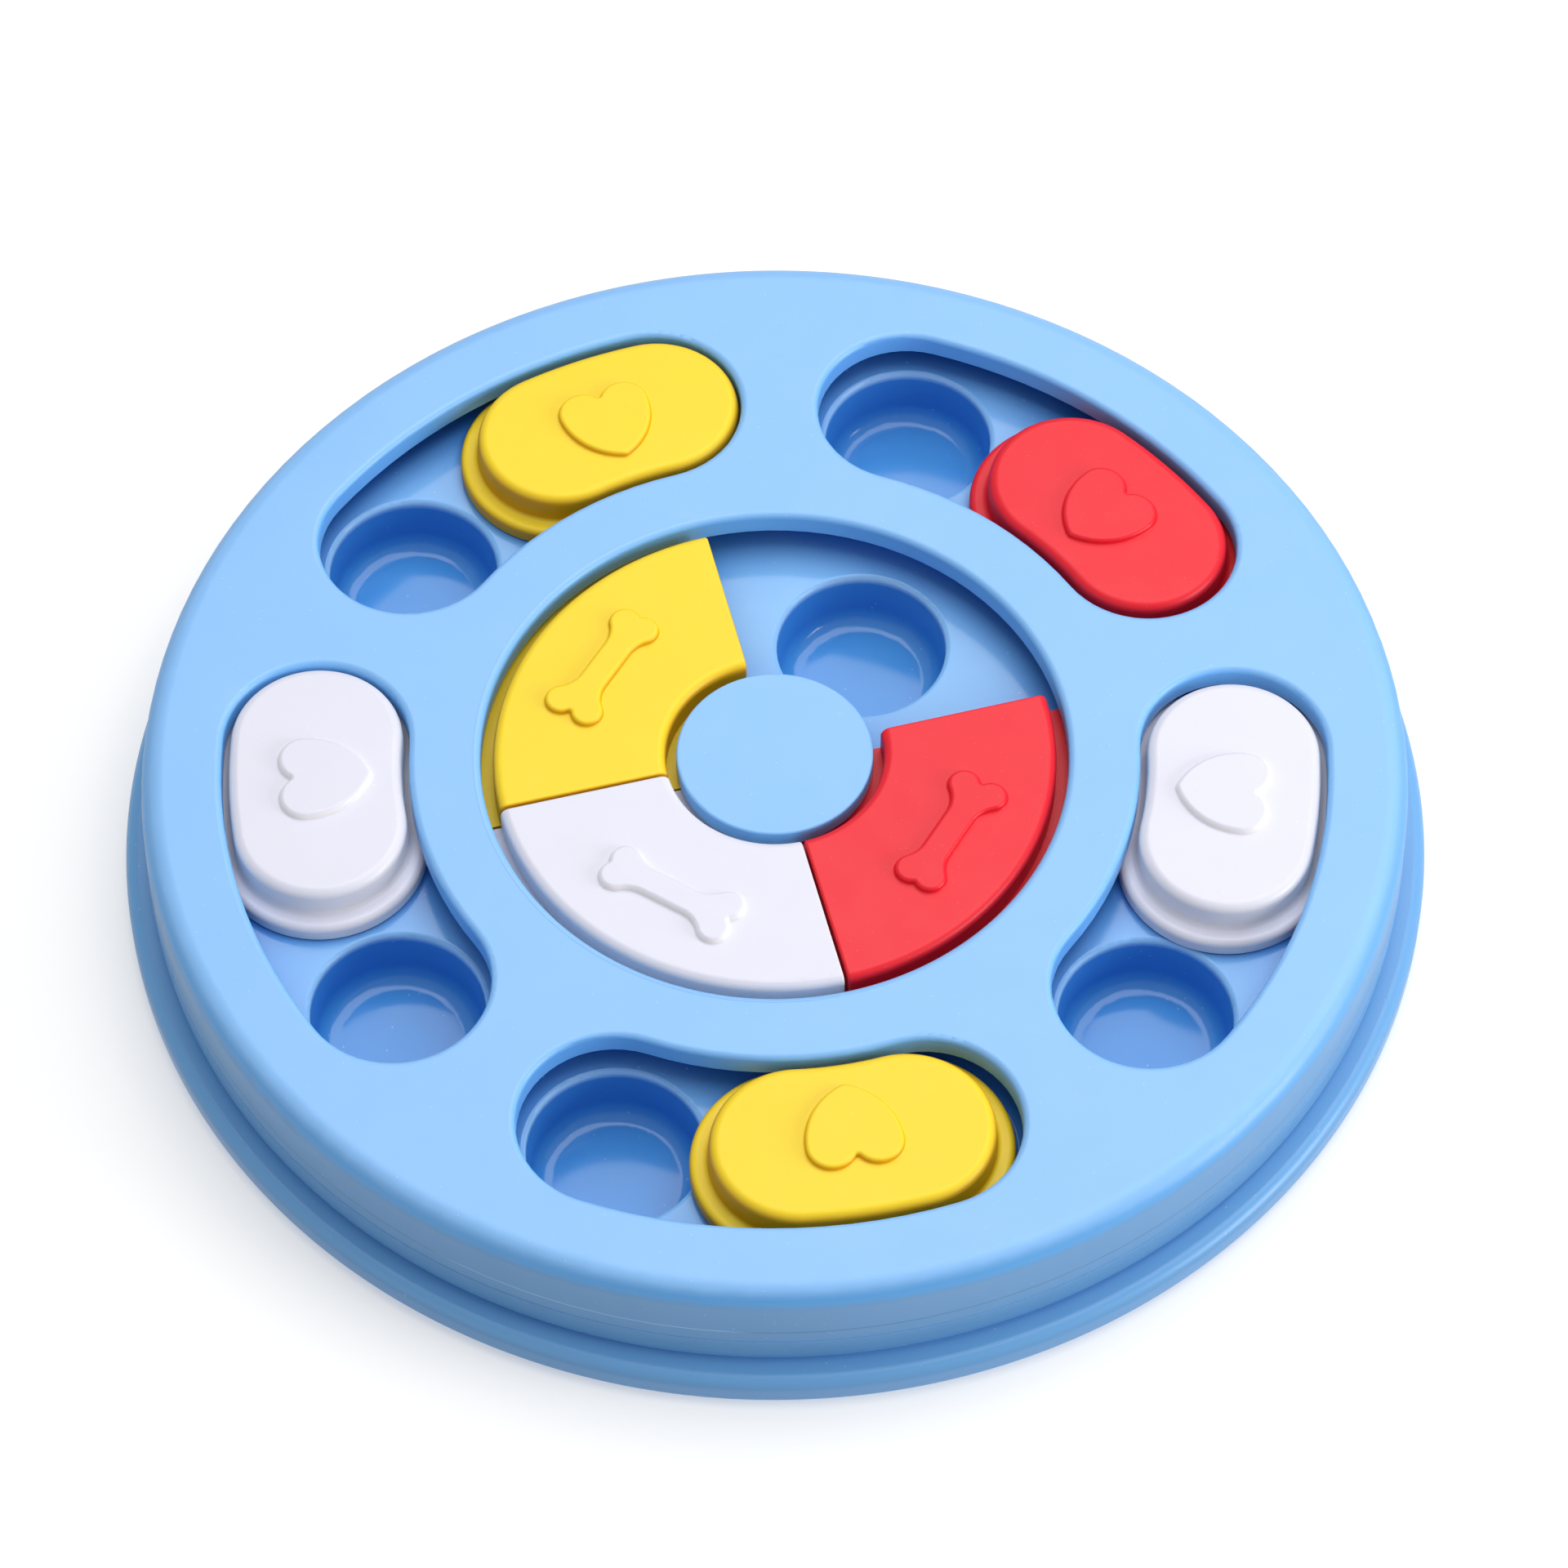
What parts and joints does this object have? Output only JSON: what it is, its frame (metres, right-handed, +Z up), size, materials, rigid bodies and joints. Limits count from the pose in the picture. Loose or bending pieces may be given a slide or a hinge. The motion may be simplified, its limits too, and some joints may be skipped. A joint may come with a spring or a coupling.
{
  "type": "dog puzzle feeder",
  "caption": "Round puzzle feeder for dogs: sliding lids in arc slots and turning quarter tiles cover treat wells.",
  "frame": {"origin": "centre of the base's underside, at the height that the rubber feet stand on", "axes": "+Z up through the hub; +Y towards the far side, between the two rear windows; +X to the right"},
  "size_m": [0.25, 0.25, 0.0307],
  "materials": {
    "blue_plastic": "moulded, satin gloss",
    "yellow_plastic": "moulded, satin gloss",
    "red_plastic": "moulded, satin gloss",
    "white_plastic": "moulded, satin gloss",
    "screw_steel": "zinc plated",
    "foot_rubber": "matt"
  },
  "bodies": {
    "base": {"base_tray": "blue_plastic", "top_cover": "blue_plastic", "hub_cap": "blue_plastic", "cover_screws": "screw_steel", "hub_screw": "screw_steel", "foot_1": "foot_rubber", "foot_2": "foot_rubber", "foot_3": "foot_rubber", "foot_4": "foot_rubber", "foot_5": "foot_rubber"},
    "red_slider": {"slider_red": "red_plastic"},
    "rear_yellow_slider": {"slider_yellow_rear": "yellow_plastic"},
    "left_white_slider": {"slider_white_left": "white_plastic"},
    "front_yellow_slider": {"slider_yellow_front": "yellow_plastic"},
    "right_white_slider": {"slider_white_right": "white_plastic"},
    "white_tile": {"tile_white": "white_plastic"},
    "yellow_tile": {"tile_yellow": "yellow_plastic"},
    "red_tile": {"tile_red": "red_plastic"}
  },
  "joints": [
    {"name": "red_slider_arc", "type": "hinge", "parent": "base", "child": "red_slider", "pos_m": [0, 0, 0.0197], "axis": [0, 0, 1], "range_deg": [-1.1, 24.9]},
    {"name": "rear_yellow_slider_arc", "type": "hinge", "parent": "base", "child": "rear_yellow_slider", "pos_m": [0, 0, 0.0197], "axis": [0, 0, 1], "range_deg": [0, 26.1]},
    {"name": "left_white_slider_arc", "type": "hinge", "parent": "base", "child": "left_white_slider", "pos_m": [0, 0, 0.0197], "axis": [0, 0, 1], "range_deg": [0, 26.1]},
    {"name": "front_yellow_slider_arc", "type": "hinge", "parent": "base", "child": "front_yellow_slider", "pos_m": [0, 0, 0.0197], "axis": [0, 0, 1], "range_deg": [-23.1, 2.9]},
    {"name": "right_white_slider_arc", "type": "hinge", "parent": "base", "child": "right_white_slider", "pos_m": [0, 0, 0.0197], "axis": [0, 0, 1], "range_deg": [-24.9, 1.2]},
    {"name": "white_tile_turn", "type": "hinge", "parent": "base", "child": "white_tile", "pos_m": [0, 0, 0.0197], "axis": [0, 0, 1], "continuous": true},
    {"name": "yellow_tile_turn", "type": "hinge", "parent": "white_tile", "child": "yellow_tile", "pos_m": [0, 0, 0.0197], "axis": [0, 0, 1], "range_deg": [-89.2, 0]},
    {"name": "red_tile_turn", "type": "hinge", "parent": "white_tile", "child": "red_tile", "pos_m": [0, 0, 0.0197], "axis": [0, 0, 1], "range_deg": [0, 89.2]}
  ]
}
